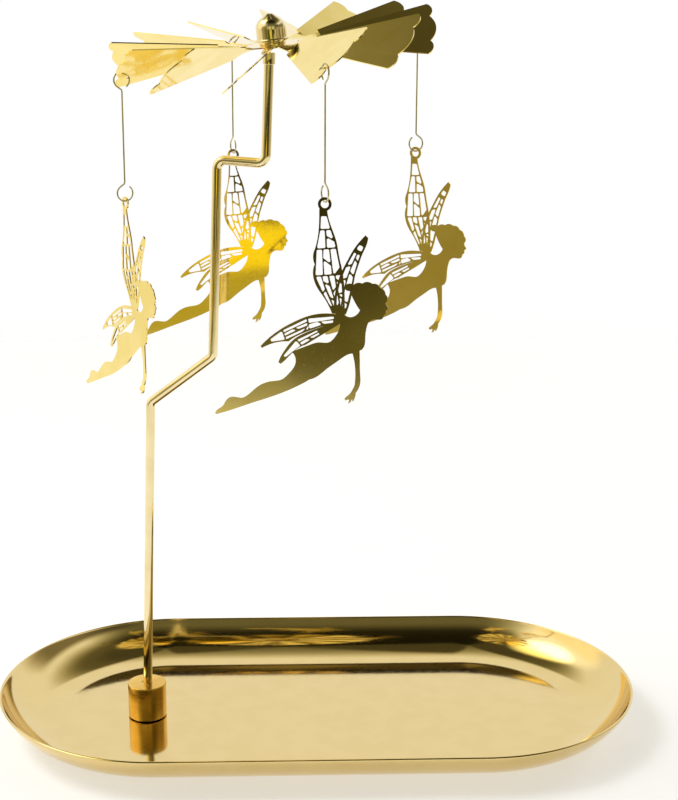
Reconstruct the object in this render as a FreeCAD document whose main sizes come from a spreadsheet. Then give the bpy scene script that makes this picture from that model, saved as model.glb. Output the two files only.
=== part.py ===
import FreeCAD, Part
import Sketcher
import math
import os

# Spinning candle carousel: a capsule-shaped tray, a magnetic post with two offsets,
# a twelve-bladed fan balanced on a needle, and four winged figures on wire hangers.
# Frame: origin on the table under the middle of the tray, +X along the tray, +Y to the
# back, +Z up. Every length is in millimetres and every angle in degrees.

SIZES = {
    # Tray
    "tray_length": 230.0,
    "tray_width": 120.0,
    "tray_sheet": 0.8,
    "tray_flare": 20.0,
    "tray_wall_height": 13.2,
    # Magnetic base
    "base_place": -62.4,
    "base_diameter": 13.8,
    "base_height": 12.6,
    "base_chamfer": 0.4,
    "base_gap": 0.4,
    "magnet_diameter": 10.0,
    "magnet_height": 3.0,
    "magnet_chamfer": 0.25,
    "magnet_play": 0.05,
    "bore_depth": 9.0,
    "bore_play": 0.05,
    # Post
    "rod_diameter": 3.2,
    "bend_radius": 3.0,
    "lower_run": 115.0,
    "slant_reach": 22.9,
    "slant_rise": 19.1,
    "middle_run": 66.2,
    "upper_reach": 17.0,
    "upper_run": 34.3,
    "post_lean": 2.3,
    "post_turn": -20.0,
    # Ferrule and needle
    "ferrule_diameter": 4.1,
    "ferrule_skirt": 2.9,
    "ferrule_cap": 0.8,
    "ferrule_chamfer": 0.25,
    "press_play": 0.01,
    "needle_diameter": 0.9,
    "needle_socket": 4.0,
    "needle_height": 9.9,
    "needle_cone": 2.4,
    "needle_point": 0.2,
    # Dome cap, measured from the needle's point
    "crown_height": 3.1,
    "crown_radius": 2.2,
    "shoulder_radius": 3.9,
    "dome_diameter": 9.7,
    "dome_height": 8.6,
    "dome_flange_diameter": 10.6,
    "dome_flange": 0.7,
    "dome_step": 0.2,
    # Pivot cup, hollow stud and washer
    "cup_diameter": 4.0,
    "cup_height": 2.2,
    "cup_recess": 0.95,
    "cup_mouth": 2.7,
    "pivot_play": 0.15,
    "stud_bore": 4.4,
    "stud_diameter": 5.4,
    "stud_reach": 3.3,
    "stud_flange_diameter": 6.8,
    "stud_flange": 0.8,
    "thread_play": 0.02,
    "washer_diameter": 8.4,
    "washer_height": 1.0,
    # Fan
    "fan_sheet": 0.4,
    "fan_hub_diameter": 16.4,
    "fan_radius": 52.0,
    "blade_root_radius": 17.0,
    "blade_root_width": 6.6,
    "blade_tip_width": 23.6,
    "blade_neck_width": 3.8,
    "blade_pitch": 33.2,
    "blade_start": -67.0,
    "lobe_depth": 2.0,
    "side_lobe_back": 2.75,
    "side_lobe_drop": 1.05,
    "rotor_lean": 8.5,
    "rotor_low_side": 218.6,
    # Hook holes and wire hangers
    "hook_radius": 47.1,
    "hook_side": 5.8,
    "hook_hole": 1.8,
    "wire_diameter": 0.6,
    "loop_radius": 2.5,
    "loop_hang": 1.0,
    "loop_bend": 0.9,
    "hanger_length": 34.85,
    # Flat winged figures
    "figure_drop": 66.0,
    "figure_sheet": 0.4,
    "ring_diameter": 4.1,
    "ring_hole": 2.4,
    "ring_play": 0.3,
    "vein": 0.45,
    "wing_rim": 0.6,
    "cell_corner": 0.4,
    "least_cell": 0.32,
}

BLADES = 12
FIGURES = 4
FULL_TURN = 360.0
QUARTER_TURN = 90.0
HALF = 0.5

# Where each figure faces, as its sheet's angle from +X seen from above
FIGURE_FACING = {"front": -10.0, "right": -30.0, "back": 0.0, "left": -58.0}
SIDES = ["front", "right", "back", "left"]

# Each hand-twisted blade's pitch, as a share of the common pitch
PITCH_SHARES = [1.01, 1.0, 0.99, 0.96, 1.04, 1.0, 0.92, 1.0, 1.03, 0.98, 1.01, 1.06]

# The dome's straight slope falls two for every three outwards
SLOPE_SHARES = (3.0 / math.sqrt(13.0), 2.0 / math.sqrt(13.0))

# The loops stay open by this half angle, and their wire leaves them at this one
LOOP_OPEN_ANGLE = 35.0
LOOP_LEAVE_ANGLE = 35.0

doc = FreeCAD.newDocument("carousel")
sheet = doc.addObject("Spreadsheet::Sheet", "Sizes")
for row, (alias, number) in enumerate(SIZES.items(), start=1):
    sheet.set("A%d" % row, alias)
    sheet.set("B%d" % row, str(number))
    sheet.setAlias("B%d" % row, alias)
doc.recompute()


class Size:
    """A length with the expression that gives it, so that a sketch can be bound to both."""

    def __init__(self, value, text):
        self.value = value
        self.text = text

    def __add__(self, other):
        other = as_size(other)
        return Size(self.value + other.value, "(%s + %s)" % (self.text, other.text))

    def __sub__(self, other):
        other = as_size(other)
        return Size(self.value - other.value, "(%s - %s)" % (self.text, other.text))

    def __mul__(self, other):
        other = as_size(other)
        return Size(self.value * other.value, "(%s * %s)" % (self.text, other.text))

    def __truediv__(self, other):
        other = as_size(other)
        return Size(self.value / other.value, "(%s / %s)" % (self.text, other.text))

    def __neg__(self):
        return Size(-self.value, "(0 - %s)" % self.text)


def as_size(number):
    if isinstance(number, Size):
        return number
    return Size(float(number), repr(float(number)))


def cell(alias):
    """The sheet's value of that name, as a size bound to its cell."""
    return Size(float(sheet.get(alias)), "Sizes.%s" % alias)


def number(alias):
    return float(sheet.get(alias))


NOTHING = as_size(0)


# Helpers for sketches and turned pieces

def origin_plane(body, role):
    for feature in body.Origin.OriginFeatures:
        if feature.Role == role:
            return feature
    raise ValueError(role)


def new_sketch(body, name, role):
    sketch = body.newObject("Sketcher::SketchObject", name)
    sketch.AttachmentSupport = [(origin_plane(body, role), "")]
    sketch.MapMode = "FlatFace"
    return sketch


def bind_point(sketch, geometry, vertex, place):
    """Hold one vertex of a sketch at the two sizes of its place."""
    for axis, length in zip(("DistanceX", "DistanceY"), place):
        if length.value == 0:
            on_axis = -2 if axis == "DistanceX" else -1
            sketch.addConstraint(Sketcher.Constraint("PointOnObject", geometry, vertex, on_axis))
            continue
        rule = Sketcher.Constraint(axis, -1, 1, geometry, vertex, length.value)
        index = sketch.addConstraint(rule)
        sketch.setExpression("Constraints[%d]" % index, length.text)


def arc_between(start, end, radius, bulge):
    """The short arc of that radius from start to end; bulge 1 turns left, -1 turns right."""
    chord = end - start
    middle = (start + end) * HALF
    square = max(radius * radius - (chord.Length * HALF) ** 2, 0)
    away = FreeCAD.Vector(-chord.y, chord.x, 0)
    away.normalize()
    centre = middle + away * (bulge * math.sqrt(square))
    first = math.atan2(start.y - centre.y, start.x - centre.x)
    last = math.atan2(end.y - centre.y, end.x - centre.x)
    circle = Part.Circle(centre, FreeCAD.Vector(0, 0, 1), radius)
    if bulge > 0:
        return Part.ArcOfCircle(circle, first, last), 1, 2
    return Part.ArcOfCircle(circle, last, first), 2, 1


def closed_profile(sketch, places, arcs):
    """A closed outline through the places; arcs gives a radius and side for some of its edges."""
    points = [FreeCAD.Vector(x.value, y.value, 0) for x, y in places]
    ends = []
    for index, start in enumerate(points):
        end = points[(index + 1) % len(points)]
        if index in arcs:
            radius, bulge = arcs[index]
            curve, first, last = arc_between(start, end, radius.value, bulge)
            geometry = sketch.addGeometry(curve, False)
            rule = sketch.addConstraint(Sketcher.Constraint("Radius", geometry, radius.value))
            sketch.setExpression("Constraints[%d]" % rule, radius.text)
        else:
            geometry = sketch.addGeometry(Part.LineSegment(start, end), False)
            first, last = 1, 2
        ends.append((geometry, first, last))
    for index, (geometry, first, last) in enumerate(ends):
        following, next_first, next_last = ends[(index + 1) % len(ends)]
        sketch.addConstraint(Sketcher.Constraint("Coincident", geometry, last, following, next_first))
        bind_point(sketch, geometry, first, places[index])


def turned(name, places, arcs=None):
    """A body turned about its own Z axis from a half profile of radius and height."""
    body = doc.addObject("PartDesign::Body", name)
    sketch = new_sketch(body, name + "_profile", "XZ_Plane")
    closed_profile(sketch, places, arcs or {})
    turning = body.newObject("PartDesign::Revolution", name + "_turning")
    turning.Profile = sketch
    turning.ReferenceAxis = (sketch, ["V_Axis"])
    turning.Angle = FULL_TURN
    body.Label = name
    doc.recompute()
    return body


def pocket_circle(body, name, radius, x, height, tilt, depth, upwards):
    """A round hole from a tilted circle at that place in the body's XZ plane."""
    sketch = new_sketch(body, name + "_circle", "XY_Plane")
    sketch.AttachmentOffset = FreeCAD.Placement(
        FreeCAD.Vector(x.value, 0, height.value),
        FreeCAD.Rotation(FreeCAD.Vector(0, 1, 0), tilt.value))
    sketch.setExpression("AttachmentOffset.Base.x", x.text)
    sketch.setExpression("AttachmentOffset.Base.z", height.text)
    sketch.setExpression("AttachmentOffset.Rotation.Angle", tilt.text)
    circle = Part.Circle(FreeCAD.Vector(0, 0, 0), FreeCAD.Vector(0, 0, 1), radius.value)
    geometry = sketch.addGeometry(circle, False)
    sketch.addConstraint(Sketcher.Constraint("Coincident", geometry, 3, -1, 1))
    rule = sketch.addConstraint(Sketcher.Constraint("Radius", geometry, radius.value))
    sketch.setExpression("Constraints[%d]" % rule, radius.text)
    doc.recompute()
    before = body.Shape.Volume
    hole = body.newObject("PartDesign::Pocket", name)
    hole.Profile = sketch
    hole.Reversed = upwards
    hole.setExpression("Length", depth.text)
    doc.recompute()
    removed = before - body.Shape.Volume
    print("%s removes %.2f cubic mm" % (name, removed))
    if removed <= 0:
        raise ValueError("%s cuts nothing" % name)


# Tray: one pressed sheet, a flat floor with a curved wall all round

def tray_section():
    """Named places of the half section, with the wall arcs' radii."""
    half_width = cell("tray_width") * HALF
    flare = cell("tray_flare")
    rise = cell("tray_wall_height")
    thickness = cell("tray_sheet")
    outer_arc = (flare * flare + rise * rise) / (rise * 2)
    inner_arc = outer_arc - thickness
    floor_edge = half_width - flare
    lip_in = half_width - flare * thickness / outer_arc
    lip_up = rise + (outer_arc - rise) * thickness / outer_arc
    return half_width, floor_edge, rise, thickness, outer_arc, inner_arc, lip_in, lip_up


def make_tray():
    half_width, floor_edge, rise, thickness, outer_arc, inner_arc, lip_in, lip_up = tray_section()
    straight = cell("tray_length") - cell("tray_width")
    body = doc.addObject("PartDesign::Body", "tray")

    across = new_sketch(body, "tray_across", "YZ_Plane")
    places = [
        (-floor_edge, NOTHING), (floor_edge, NOTHING), (half_width, rise), (lip_in, lip_up),
        (floor_edge, thickness), (-floor_edge, thickness), (-lip_in, lip_up), (-half_width, rise)]
    arcs = {1: (outer_arc, 1), 3: (inner_arc, -1), 5: (inner_arc, -1), 7: (outer_arc, 1)}
    closed_profile(across, places, arcs)
    middle = body.newObject("PartDesign::Pad", "tray_middle")
    middle.Profile = across
    middle.SideType = "Symmetric"
    middle.setExpression("Length", straight.text)
    doc.recompute()

    centre = straight * HALF
    end = new_sketch(body, "tray_end_section", "XZ_Plane")
    places = [
        (centre, NOTHING), (centre + floor_edge, NOTHING), (centre + half_width, rise),
        (centre + lip_in, lip_up), (centre + floor_edge, thickness), (centre, thickness)]
    closed_profile(end, places, {1: (outer_arc, 1), 3: (inner_arc, -1)})
    line = Part.LineSegment(
        FreeCAD.Vector(centre.value, 0, 0), FreeCAD.Vector(centre.value, rise.value, 0))
    axis = end.addGeometry(line, True)
    bind_point(end, axis, 1, (centre, NOTHING))
    bind_point(end, axis, 2, (centre, rise))
    right_end = body.newObject("PartDesign::Revolution", "tray_right_end")
    right_end.Profile = end
    right_end.ReferenceAxis = (end, ["Axis0"])
    right_end.Angle = FULL_TURN * HALF
    right_end.Midplane = True
    doc.recompute()

    left_end = body.newObject("PartDesign::Mirrored", "tray_left_end")
    left_end.Originals = [right_end]
    left_end.MirrorPlane = (origin_plane(body, "YZ_Plane"), [""])
    body.Tip = left_end
    body.Label = "tray"
    doc.recompute()
    return body


# Magnetic base: a brass weight with a magnet in its foot and a slanting bore for the rod

def make_base():
    radius = cell("base_diameter") * HALF
    height = cell("base_height")
    chamfer = cell("base_chamfer")
    recess = cell("magnet_height") - cell("base_gap")
    recess_radius = cell("magnet_diameter") * HALF + cell("magnet_play")
    weight = turned("base_weight", [
        (recess_radius, NOTHING), (radius - chamfer, NOTHING), (radius, chamfer),
        (radius, height - chamfer), (radius - chamfer, height), (NOTHING, height),
        (NOTHING, recess), (recess_radius, recess)])
    bore_radius = (cell("rod_diameter") * HALF) + cell("bore_play")
    foot = height - cell("bore_depth")
    pocket_circle(weight, "rod_bore", bore_radius, NOTHING, foot, cell("post_lean"), height, True)

    magnet_radius = cell("magnet_diameter") * HALF
    edge = cell("magnet_chamfer")
    tall = cell("magnet_height")
    magnet = turned("base_magnet", [
        (NOTHING, NOTHING), (magnet_radius - edge, NOTHING), (magnet_radius, edge),
        (magnet_radius, tall - edge), (magnet_radius - edge, tall), (NOTHING, tall)])
    turn = FreeCAD.Rotation(FreeCAD.Vector(0, 0, 1), number("post_turn"))
    seat = FreeCAD.Vector(number("base_place"), 0, number("tray_sheet"))
    lift = FreeCAD.Vector(0, 0, number("base_gap"))
    magnet.Placement = FreeCAD.Placement(seat, turn)
    weight.Placement = FreeCAD.Placement(seat + lift, turn)
    return weight, magnet


# Post: one rod, bent four times, with a socket for the needle in its top

def post_corners():
    """The rod's corners in its own plane, from its foot to its top."""
    across = cell("slant_reach")
    first = cell("lower_run")
    second = first + cell("slant_rise")
    third = second + cell("middle_run")
    top = third + cell("upper_run")
    far = across + cell("upper_reach")
    return [(NOTHING, NOTHING), (NOTHING, first), (across, second), (across, third),
            (far, third), (far, top)]


def bent_path(sketch, corners, radius):
    """Straight runs between the corners, joined by tangent arcs of one radius."""
    points = [FreeCAD.Vector(x.value, y.value, 0) for x, y in corners]
    starts = [points[0]]
    bends = []
    for before, corner, after in zip(points, points[1:], points[2:]):
        back = (before - corner).normalize()
        ahead = (after - corner).normalize()
        half_angle = back.getAngle(ahead) * HALF
        reach = radius.value / math.tan(half_angle)
        turn = 1 if back.cross(ahead).z < 0 else -1
        bends.append((corner + back * reach, corner + ahead * reach, turn))
    lines = []
    for index in range(len(points) - 1):
        start = bends[index - 1][1] if index else starts[0]
        end = bends[index][0] if index < len(bends) else points[-1]
        lines.append(sketch.addGeometry(Part.LineSegment(start, end), False))
    for index, (first, second, turn) in enumerate(bends):
        curve, begin, finish = arc_between(first, second, radius.value, turn)
        arc = sketch.addGeometry(curve, False)
        sketch.addConstraint(Sketcher.Constraint("Tangent", lines[index], 2, arc, begin))
        sketch.addConstraint(Sketcher.Constraint("Tangent", arc, finish, lines[index + 1], 1))
        rule = sketch.addConstraint(Sketcher.Constraint("Radius", arc, radius.value))
        sketch.setExpression("Constraints[%d]" % rule, radius.text)
        corner = sketch.addGeometry(Part.Point(points[index + 1]), True)
        bind_point(sketch, corner, 1, corners[index + 1])
        for line in (lines[index], lines[index + 1]):
            sketch.addConstraint(Sketcher.Constraint("PointOnObject", corner, 1, line))
    sketch.addConstraint(Sketcher.Constraint("Coincident", lines[0], 1, -1, 1))
    bind_point(sketch, lines[-1], 2, corners[-1])


def make_post(placement):
    body = doc.addObject("PartDesign::Body", "post")
    path = new_sketch(body, "post_path", "XZ_Plane")
    corners = post_corners()
    bent_path(path, corners, cell("bend_radius"))
    section = new_sketch(body, "post_section", "XY_Plane")
    radius = cell("rod_diameter") * HALF
    circle = Part.Circle(FreeCAD.Vector(0, 0, 0), FreeCAD.Vector(0, 0, 1), radius.value)
    geometry = section.addGeometry(circle, False)
    section.addConstraint(Sketcher.Constraint("Coincident", geometry, 3, -1, 1))
    rule = section.addConstraint(Sketcher.Constraint("Radius", geometry, radius.value))
    section.setExpression("Constraints[%d]" % rule, radius.text)
    doc.recompute()
    rod = body.newObject("PartDesign::AdditivePipe", "post_rod")
    rod.Profile = section
    rod.Spine = path
    doc.recompute()
    length = sum(edge.Length for edge in path.Shape.Edges)
    print("post: volume %.1f, section times length %.1f" % (
        body.Shape.Volume, math.pi * radius.value ** 2 * length))
    far, top = corners[-1]
    socket = (cell("needle_diameter") * HALF) + cell("press_play")
    pocket_circle(body, "needle_socket", socket, far, top, NOTHING, cell("needle_socket"), False)
    body.Label = "post"
    body.Placement = placement
    return body


def make_ferrule_and_needle(placement):
    play = cell("press_play")
    rod = cell("rod_diameter") * HALF + play
    pin = cell("needle_diameter") * HALF
    outer = cell("ferrule_diameter") * HALF
    edge = cell("ferrule_chamfer")
    skirt = cell("ferrule_skirt")
    cap = cell("ferrule_cap")
    ferrule = turned("ferrule", [
        (rod, -skirt), (outer - edge, -skirt), (outer, edge - skirt), (outer, cap - edge),
        (outer - edge, cap), (pin + play, cap), (pin + play, NOTHING), (rod, NOTHING)])
    depth = cell("needle_socket")
    tip = cell("needle_height")
    cone = cell("needle_cone")
    point = cell("needle_point") * HALF
    needle = turned("needle", [
        (NOTHING, -depth), (pin, -depth), (pin, tip - cone), (point, tip), (NOTHING, tip)])
    for body in (ferrule, needle):
        body.Placement = placement
    return ferrule, needle


# Rotor: the pieces that turn on the needle, each drawn from the needle's point

def dome_outline():
    """Half outline of the dome's outside, from its crown down to its flange."""
    out, fall = SLOPE_SHARES
    crown = cell("crown_radius")
    shoulder = cell("shoulder_radius")
    side = cell("dome_diameter") * HALF
    top = cell("crown_height")
    crown_end = (crown * fall, top - crown * (1 - out))
    start_radius = side - shoulder * (1 - fall)
    slope_fall = (start_radius - crown_end[0]) * (fall / out)
    shoulder_start = (start_radius, crown_end[1] - slope_fall)
    shoulder_end = (side, shoulder_start[1] - shoulder * out)
    return top, crown, shoulder, side, crown_end, shoulder_start, shoulder_end


def make_rotor_core():
    """Dome cap, pivot cup, hollow stud and washer."""
    top, crown, shoulder, side, crown_end, shoulder_start, shoulder_end = dome_outline()
    foot = top - cell("dome_height")
    flange = cell("dome_flange_diameter") * HALF
    rim = foot + cell("dome_flange")
    play = cell("thread_play")
    stud = cell("stud_diameter") * HALF
    cup = cell("cup_diameter") * HALF
    recess = cell("cup_recess")
    pivot = cell("pivot_play")
    cup_foot = pivot - recess
    cup_top = cup_foot + cell("cup_height")
    stud_top = foot + cell("stud_reach")
    dome = turned("dome_cap", [
        (stud + play, foot), (flange, foot), (flange, rim), (side, rim + cell("dome_step")),
        shoulder_end, shoulder_start, crown_end, (NOTHING, top), (NOTHING, cup_top),
        (cup + play, cup_top), (cup + play, stud_top), (stud + play, stud_top)],
        {4: (shoulder, 1), 6: (crown, 1)})
    pivot_cup = turned("pivot_cup", [
        (NOTHING, pivot), (cell("cup_mouth") * HALF, cup_foot), (cup, cup_foot), (cup, cup_top),
        (NOTHING, cup_top)])
    bore = cell("stud_bore") * HALF
    under = foot - cell("washer_height") - cell("fan_sheet")
    flange_foot = under - cell("stud_flange")
    hollow_stud = turned("hollow_stud", [
        (bore, flange_foot), (cell("stud_flange_diameter") * HALF, flange_foot),
        (cell("stud_flange_diameter") * HALF, under), (stud, under), (stud, stud_top),
        (bore, stud_top)])
    washer = turned("fan_washer", [
        (stud + play, foot - cell("washer_height")),
        (cell("washer_diameter") * HALF, foot - cell("washer_height")),
        (cell("washer_diameter") * HALF, foot), (stud + play, foot)])
    return [dome, pivot_cup, hollow_stud, washer]


def fan_level():
    """Height of the fan sheet's middle above the needle's point, a negative length."""
    foot = number("crown_height") - number("dome_height")
    return foot - number("washer_height") - number("fan_sheet") * HALF


def arc_edge(first, middle, last):
    return Part.Arc(first, middle, last).toShape()


def line_edge(first, last):
    return Part.LineSegment(first, last).toShape()


def blade_plate():
    """One flat blade along +X, with straight sides and three lobes at its tip."""
    root = number("blade_root_radius")
    root_half = number("blade_root_width") * HALF
    tip_half = number("blade_tip_width") * HALF
    reach = number("fan_radius")
    side_x = reach - number("side_lobe_back")
    lobe_x = reach - number("side_lobe_drop")
    notch_x = reach - number("lobe_depth")
    notch_half = tip_half * HALF
    lobe_half = (tip_half + notch_half) * HALF
    low = -number("fan_sheet") * HALF

    def at(x, y):
        return FreeCAD.Vector(x, y, low)

    edges = [
        line_edge(at(root, -root_half), at(side_x, -tip_half)),
        arc_edge(at(side_x, -tip_half), at(lobe_x, -lobe_half), at(notch_x, -notch_half)),
        arc_edge(at(notch_x, -notch_half), at(reach, 0), at(notch_x, notch_half)),
        arc_edge(at(notch_x, notch_half), at(lobe_x, lobe_half), at(side_x, tip_half)),
        line_edge(at(side_x, tip_half), at(root, root_half)),
        line_edge(at(root, root_half), at(root, -root_half))]
    face = Part.Face(Part.Wire(edges))
    return face.extrude(FreeCAD.Vector(0, 0, number("fan_sheet")))


def neck_section(x, angle):
    """The neck's rectangle across +X, turned about +X."""
    half_width = number("blade_neck_width") * HALF
    half_sheet = number("fan_sheet") * HALF
    turn = FreeCAD.Rotation(FreeCAD.Vector(1, 0, 0), angle)
    corners = [(-half_width, -half_sheet), (half_width, -half_sheet),
               (half_width, half_sheet), (-half_width, half_sheet)]
    points = [FreeCAD.Vector(x, 0, 0) + turn.multVec(FreeCAD.Vector(0, y, z)) for y, z in corners]
    return Part.makePolygon(points + points[:1])


def blade_neck(pitch):
    """The strip that twists from the flat hub to the pitched blade."""
    start = number("fan_hub_diameter") * HALF
    root = number("blade_root_radius")
    inside = start - number("blade_neck_width") * HALF
    steps = 6
    sections = [neck_section(inside, 0), neck_section(start, 0)]
    flat = Part.makeLoft(sections, True, True)
    sections = []
    for step in range(steps + 1):
        share = step / steps
        sections.append(neck_section(start + (root - start) * share, pitch * share))
    return flat.fuse(Part.makeLoft(sections, True, True))


def hook_place(azimuth, pitch):
    """A hook hole's middle in the rotor's frame, with the direction across its blade."""
    tilt = FreeCAD.Rotation(FreeCAD.Vector(1, 0, 0), pitch)
    turn = FreeCAD.Rotation(FreeCAD.Vector(0, 0, 1), azimuth)
    flat = FreeCAD.Vector(number("hook_radius"), -number("hook_side"), 0)
    place = turn.multVec(tilt.multVec(flat)) + FreeCAD.Vector(0, 0, fan_level())
    normal = turn.multVec(tilt.multVec(FreeCAD.Vector(0, 0, 1)))
    return place, normal


def blade_angles(index):
    azimuth = number("blade_start") + index * FULL_TURN / BLADES
    return azimuth, number("blade_pitch") * PITCH_SHARES[index]


def make_fan():
    level = FreeCAD.Vector(0, 0, fan_level())
    sheet_low = FreeCAD.Vector(0, 0, -number("fan_sheet") * HALF)
    hub = Part.makeCylinder(
        number("fan_hub_diameter") * HALF, number("fan_sheet"), sheet_low + level)
    plate = blade_plate()
    pieces = []
    for index in range(BLADES):
        azimuth, pitch = blade_angles(index)
        tilted = plate.copy()
        tilted.rotate(FreeCAD.Vector(0, 0, 0), FreeCAD.Vector(1, 0, 0), pitch)
        blade = tilted.fuse(blade_neck(pitch))
        blade.rotate(FreeCAD.Vector(0, 0, 0), FreeCAD.Vector(0, 0, 1), azimuth)
        blade.translate(level)
        pieces.append(blade)
    fan = hub.multiFuse(pieces)
    bore = number("stud_diameter") * HALF + number("thread_play")
    through = number("blade_tip_width")
    cuts = [Part.makeCylinder(bore, through, level - FreeCAD.Vector(0, 0, through * HALF))]
    reach = number("wire_diameter") + number("fan_sheet")
    for index in range(0, BLADES, BLADES // FIGURES):
        place, normal = hook_place(*blade_angles(index))
        cuts.append(Part.makeCylinder(
            number("hook_hole") * HALF, reach * 2, place - normal * reach, normal))
    fan = fan.cut(Part.makeCompound(cuts)).removeSplitter()
    feature = doc.addObject("Part::Feature", "fan")
    feature.Shape = fan.Solids[0] if len(fan.Solids) == 1 else fan
    feature.Label = "fan"
    return feature


# Wire hangers: a straight wire between two open loops, all in one plane

def loop_point(centre, angle):
    reach = number("loop_radius")
    turn = math.radians(angle)
    return centre + FreeCAD.Vector(reach * math.cos(turn), 0, reach * math.sin(turn))


def make_hanger(name, placement):
    """Origin at the upper loop's middle, +X outwards; the wire hangs down along -Z."""
    leave = LOOP_LEAVE_ANGLE
    reach = number("loop_radius")
    bend = number("loop_bend")
    upper = FreeCAD.Vector(0, 0, 0)
    lower = FreeCAD.Vector(0, 0, -number("hanger_length"))
    meet = reach / math.cos(math.radians(leave))
    # The wire turns from the upright into the loop's tangent
    turn = math.radians(QUARTER_TURN - leave)
    trim = bend * math.tan(turn * HALF)
    slant = FreeCAD.Vector(math.cos(math.radians(leave)), 0, math.sin(math.radians(leave)))

    def half_path(centre, side):
        """Edges of one loop, from its open end to the straight wire; side 1 is the upper one."""
        corner = centre - FreeCAD.Vector(0, 0, side * meet)
        away = FreeCAD.Vector(slant.x, 0, side * slant.z)
        open_end = loop_point(centre, -side * (QUARTER_TURN + LOOP_OPEN_ANGLE))
        over = loop_point(centre, side * QUARTER_TURN)
        leaving = loop_point(centre, -side * (QUARTER_TURN - leave))
        turn_out = corner + away * trim
        turn_in = corner - FreeCAD.Vector(0, 0, side * trim)
        middle_away = away - FreeCAD.Vector(0, 0, side)
        middle_away.normalize()
        bend_centre = corner + middle_away * (bend / math.cos(turn * HALF))
        middle = bend_centre - middle_away * bend
        return [
            arc_edge(open_end, over, leaving), line_edge(leaving, turn_out),
            arc_edge(turn_out, middle, turn_in)], turn_in

    top_edges, top_end = half_path(upper, 1)
    low_edges, low_end = half_path(lower, -1)
    path = Part.Wire(Part.__sortEdges__(top_edges + [line_edge(top_end, low_end)] + low_edges))
    start = loop_point(upper, -(QUARTER_TURN + LOOP_OPEN_ANGLE))
    heading = path.OrderedEdges[0].tangentAt(path.OrderedEdges[0].FirstParameter)
    first = path.OrderedVertexes[0].Point
    radius = number("wire_diameter") * HALF
    ring = Part.Wire(Part.Circle(first, heading, radius).toShape())
    solid = path.makePipeShell([ring], True, True)
    expected = math.pi * radius ** 2 * path.Length
    print("%s: volume %.3f, section times length %.3f, start %.3f" % (
        name, solid.Volume, expected, (first - start).Length))
    feature = doc.addObject("Part::Feature", name)
    feature.Shape = solid
    feature.Label = name
    feature.Placement = placement
    return feature


# Winged figures. Places on the sheet are shares of the figure's drop: right, then up

UPPER_WING = {
    "outer_share": [
        [(-0.024, -0.022), (-0.022, -0.10), (-0.028, -0.17), (-0.036, -0.205)],
        [(-0.036, -0.205), (-0.043, -0.24), (-0.034, -0.275)],
        [(-0.034, -0.275), (-0.040, -0.32), (-0.024, -0.37), (0.000, -0.405)],
        [(0.000, -0.405), (0.026, -0.44), (0.055, -0.495)]],
    "inner_share": [
        [(0.012, -0.022), (0.026, -0.08), (0.047, -0.13), (0.062, -0.17), (0.073, -0.22),
         (0.094, -0.30), (0.108, -0.40), (0.112, -0.495)]],
    "zone_shares": [(0.06, 0.19, 1, 1), (0.19, 0.37, 2, 1), (0.37, 0.62, 3, 1), (0.62, 0.93, 4, 2)],
}
RAISED_WING = {
    "outer_share": [
        [(0.190, -0.128), (0.165, -0.158), (0.140, -0.195), (0.115, -0.245), (0.090, -0.300),
         (0.070, -0.370), (0.062, -0.430), (0.066, -0.495)]],
    "inner_share": [
        [(0.203, -0.140), (0.196, -0.175), (0.180, -0.215), (0.165, -0.265), (0.153, -0.310),
         (0.146, -0.360), (0.136, -0.430), (0.118, -0.495)]],
    "zone_shares": [(0.12, 0.20, 1, 1), (0.23, 0.93, 2, 4)],
}
LOWER_WING = {
    "outer_share": [
        [(-0.270, -0.672), (-0.240, -0.638), (-0.198, -0.600), (-0.141, -0.560), (-0.082, -0.527),
         (-0.024, -0.505), (0.035, -0.496), (0.100, -0.500)]],
    "inner_share": [
        [(-0.262, -0.680), (-0.215, -0.655), (-0.183, -0.645), (-0.140, -0.640)],
        [(-0.140, -0.640), (-0.100, -0.610), (-0.040, -0.580), (0.020, -0.555), (0.090, -0.540)]],
    "zone_shares": [(0.13, 0.31, 1, 1), (0.31, 0.62, 3, 1), (0.62, 0.93, 2, 1)],
}
TRAILING_WING = {
    "outer_share": [
        [(-0.184, -0.742), (-0.172, -0.710), (-0.152, -0.675), (-0.120, -0.632), (-0.070, -0.597),
         (-0.010, -0.568), (0.095, -0.520)]],
    "inner_share": [
        [(-0.172, -0.748), (-0.141, -0.716), (-0.108, -0.680), (-0.060, -0.650)],
        [(-0.060, -0.650), (-0.030, -0.628), (0.010, -0.600), (0.045, -0.575), (0.100, -0.535)]],
    "zone_shares": [(0.10, 0.38, 1, 1), (0.38, 0.68, 2, 1), (0.68, 0.92, 1, 1)],
}
WINGS = [UPPER_WING, RAISED_WING, LOWER_WING, TRAILING_WING]
# How far each column of cells is set back along its wing, and how its cell ends slant
STAGGER_SHARES = [0.0, 0.5, 0.08, 0.6]
SLANT_SHARES = [0.16, -0.14, 0.18, -0.16]

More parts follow.
